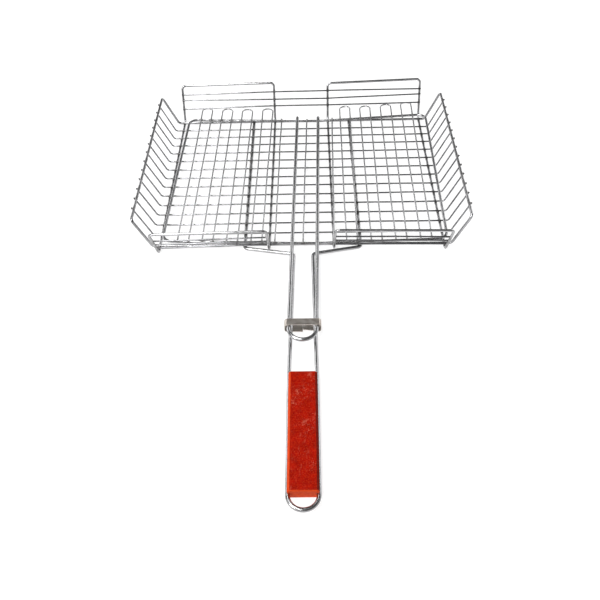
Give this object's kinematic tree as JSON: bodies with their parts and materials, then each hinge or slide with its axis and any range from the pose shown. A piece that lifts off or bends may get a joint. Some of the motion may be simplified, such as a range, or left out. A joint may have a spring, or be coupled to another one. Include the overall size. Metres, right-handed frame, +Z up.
{
  "type": "grill basket",
  "caption": "Shallow rectangular wire basket with leaning walls, a flat wire lid, a long wire handle with a wooden grip, and a sliding ring that holds the lid shut.",
  "frame": {"origin": "middle of the footprint, on the plane that the basket stands on", "axes": "+Y runs along the handle from the hang loop to the far wall, +X to the right, +Z up"},
  "size_m": [0.3628, 0.5661, 0.0477],
  "materials": {
    "plated_thick_wire": "dull bright plating",
    "plated_thin_wire": "dull bright plating",
    "strip_steel": "brushed",
    "grip_paint": "red gloss paint on wood"
  },
  "bodies": {
    "basket": {"outer_frame": "plated_thick_wire", "left_loop": "plated_thick_wire", "right_loop": "plated_thick_wire", "handle_wire": "plated_thick_wire", "grip": "grip_paint", "cross_wire_1": "plated_thin_wire", "cross_wire_2": "plated_thin_wire", "cross_wire_3": "plated_thin_wire", "cross_wire_4": "plated_thin_wire", "cross_wire_5": "plated_thin_wire", "cross_wire_6": "plated_thin_wire", "cross_wire_7": "plated_thin_wire", "cross_wire_8": "plated_thin_wire", "cross_wire_9": "plated_thin_wire", "cross_wire_10": "plated_thin_wire", "cross_wire_11": "plated_thin_wire", "cross_wire_12": "plated_thin_wire", "cross_wire_13": "plated_thin_wire", "far_rail_1": "plated_thin_wire", "far_rail_2": "plated_thin_wire", "far_rail_3": "plated_thin_wire", "near_left_rail_1": "plated_thin_wire", "near_left_rail_2": "plated_thin_wire", "near_left_rail_3": "plated_thin_wire", "near_right_rail_1": "plated_thin_wire", "near_right_rail_2": "plated_thin_wire", "near_right_rail_3": "plated_thin_wire"},
    "lid": {"lid_frame": "plated_thick_wire", "lid_handle": "plated_thick_wire", "hairpin_1": "plated_thin_wire", "hairpin_2": "plated_thin_wire", "hairpin_3": "plated_thin_wire", "hairpin_4": "plated_thin_wire", "hairpin_5": "plated_thin_wire", "hairpin_6": "plated_thin_wire", "hairpin_7": "plated_thin_wire", "hairpin_8": "plated_thin_wire", "lid_wire_1": "plated_thin_wire", "lid_wire_2": "plated_thin_wire", "lid_wire_3": "plated_thin_wire"},
    "clamp": {"clamp": "strip_steel"}
  },
  "joints": [
    {"name": "lid_hinge", "type": "hinge", "parent": "basket", "child": "lid", "pos_m": [0, 0.26802, 0.02086], "axis": [-1, 0, 0], "range_deg": [0, 110]},
    {"name": "clamp_slide", "type": "slide", "parent": "basket", "child": "clamp", "axis": [0, -1, 0], "range_m": [-0.05, 0.052]}
  ]
}
